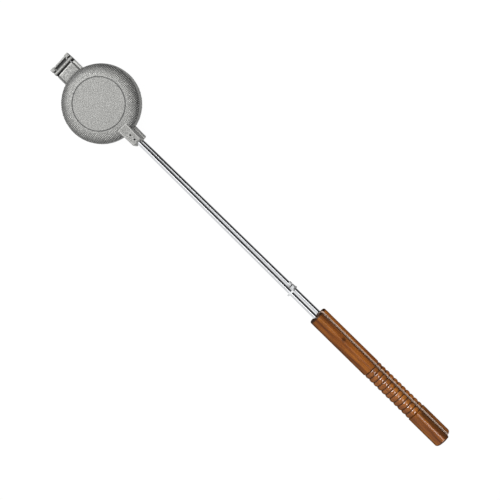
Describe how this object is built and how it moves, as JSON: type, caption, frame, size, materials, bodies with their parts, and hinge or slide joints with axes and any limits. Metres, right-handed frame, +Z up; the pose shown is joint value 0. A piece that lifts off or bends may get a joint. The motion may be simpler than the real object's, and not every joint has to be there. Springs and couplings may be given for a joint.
{
  "type": "round sandwich iron",
  "caption": "Round cast sandwich iron: dished pans on a lift-off hinge, long steel rods, split beaded wooden handle and a swinging latch.",
  "frame": {"origin": "centre of the bottom pan's flat outer face, on which the closed iron lies", "axes": "+X along the tool from the pans to the handle, +Z up through both pans, +Y across the tool"},
  "size_m": [0.7114, 0.1058, 0.036],
  "materials": {
    "cast_aluminium": "sand-cast satin with a pebbled shoulder",
    "plated_rod": "bright nickel plate",
    "dark_pin": "dark oiled steel",
    "stained_wood": "brown stain under gloss varnish",
    "plated_latch": "plated sheet steel"
  },
  "bodies": {
    "bottom_half": {"bottom_pan": "cast_aluminium", "bottom_rod": "plated_rod", "bottom_socket_pins": "dark_pin", "bottom_handle": "stained_wood"},
    "top_half": {"top_pan": "cast_aluminium", "top_rod": "plated_rod", "top_socket_pins": "dark_pin", "top_handle": "stained_wood"},
    "latch": {"latch": "plated_latch"}
  },
  "joints": [
    {"name": "open", "type": "hinge", "parent": "bottom_half", "child": "top_half", "pos_m": [-0.071, 0, 0.018], "axis": [0, -1, 0], "range_deg": [0, 105]},
    {"name": "latch_swing", "type": "hinge", "parent": "bottom_half", "child": "latch", "pos_m": [0.3455, 0.00209, 0.0108], "axis": [-1, -0.0052, 0], "range_deg": [0, 300]}
  ]
}
